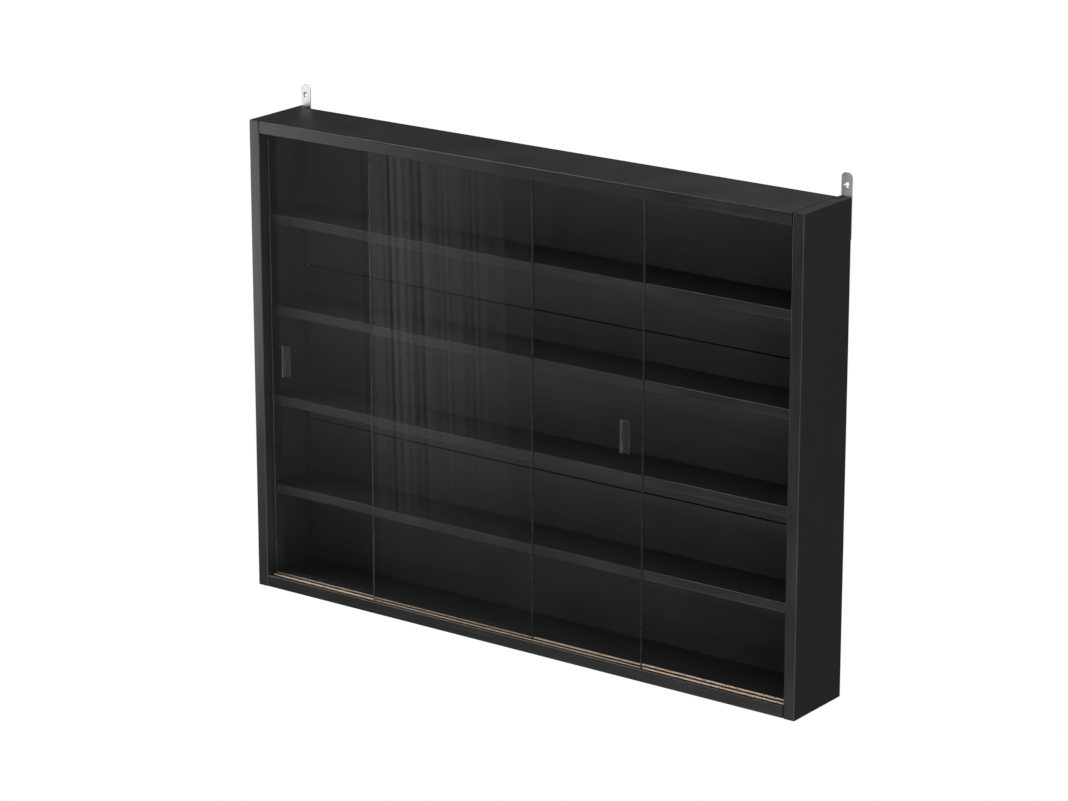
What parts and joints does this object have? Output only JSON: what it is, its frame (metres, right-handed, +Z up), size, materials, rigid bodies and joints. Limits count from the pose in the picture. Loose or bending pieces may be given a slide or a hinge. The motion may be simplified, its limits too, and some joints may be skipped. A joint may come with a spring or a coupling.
{
  "type": "wall mounted display cabinet",
  "caption": "Shallow black wall display cabinet with full-width shelves, a three-strip back and two sliding glass doors in sawn tracks, hung on steel hanger strips.",
  "frame": {"origin": "midway between the two hanging holes, on the wall's surface (the hangers' back faces); the cabinet's top is 13.5 mm below it and the cabinet's bottom 613.5 mm below it", "axes": "+X to the viewer's right along the cabinet's width, +Y into the wall, +Z up"},
  "size_m": [0.8, 0.1015, 0.628],
  "materials": {
    "black_board": "melamine-faced particle board, black, satin, with a fine lengthwise grain; raw tan board shows in the sawn tracks",
    "black_hardboard": "thin hardboard, black painted front, brown fibre back",
    "brown_tape": "smooth brown adhesive tape",
    "glass": "clear float glass with ground, pale green edges",
    "clear_plastic": "clear extruded plastic, glossy",
    "satin_steel": "satin nickel-plated steel, faint lengthwise brushing",
    "zinc": "bright zinc plate",
    "beech": "bare turned beech with fine flutes",
    "black_plastic": "moulded black plastic"
  },
  "bodies": {
    "cabinet": {"side_panel_left": "black_board", "side_panel_right": "black_board", "top_panel": "black_board", "bottom_panel": "black_board", "shelf_1": "black_board", "shelf_2": "black_board", "shelf_3": "black_board", "shelf_4": "black_board", "back_panel_lower": "black_hardboard", "back_panel_middle": "black_hardboard", "back_panel_upper": "black_hardboard", "back_tape_middle": "brown_tape", "back_tape_upper": "brown_tape", "hanger_left": "satin_steel", "hanger_right": "satin_steel", "hanger_screw_left_upper": "zinc", "hanger_screw_left_lower": "zinc", "hanger_screw_right_upper": "zinc", "hanger_screw_right_lower": "zinc", "shelf_1_dowel_left_front": "beech", "shelf_1_dowel_left_back": "beech", "shelf_1_dowel_right_front": "beech", "shelf_1_dowel_right_back": "beech", "shelf_2_dowel_left_front": "beech", "shelf_2_dowel_left_back": "beech", "shelf_2_dowel_right_front": "beech", "shelf_2_dowel_right_back": "beech", "shelf_3_dowel_left_front": "beech", "shelf_3_dowel_left_back": "beech", "shelf_3_dowel_right_front": "beech", "shelf_3_dowel_right_back": "beech", "shelf_4_dowel_left_front": "beech", "shelf_4_dowel_left_back": "beech", "shelf_4_dowel_right_front": "beech", "shelf_4_dowel_right_back": "beech", "corner_dowel_top_left": "beech", "corner_dowel_top_right": "beech", "corner_dowel_bottom_left": "beech", "corner_dowel_bottom_right": "beech", "cam_bolt_top_left": "zinc", "cam_bolt_top_right": "zinc", "cam_bolt_bottom_left": "zinc", "cam_bolt_bottom_right": "zinc", "cam_lock_top_left": "zinc", "cam_lock_top_right": "zinc", "cam_lock_bottom_left": "zinc", "cam_lock_bottom_right": "zinc", "cam_cap_top_left": "black_plastic", "cam_cap_top_right": "black_plastic", "cam_cap_bottom_left": "black_plastic", "cam_cap_bottom_right": "black_plastic", "back_nail_top_left": "zinc", "back_nail_top_right": "zinc", "back_nail_bottom_left": "zinc", "back_nail_bottom_right": "zinc"},
    "front_door": {"glass_door_front": "glass", "finger_pull_front": "clear_plastic"},
    "rear_door": {"glass_door_rear": "glass", "finger_pull_rear": "clear_plastic"}
  },
  "joints": [
    {"name": "front_door_slide", "type": "slide", "parent": "cabinet", "child": "front_door", "axis": [1, 0, 0], "range_m": [-0.1645, 0.2025]},
    {"name": "rear_door_slide", "type": "slide", "parent": "cabinet", "child": "rear_door", "axis": [1, 0, 0], "range_m": [0, 0.367]}
  ]
}
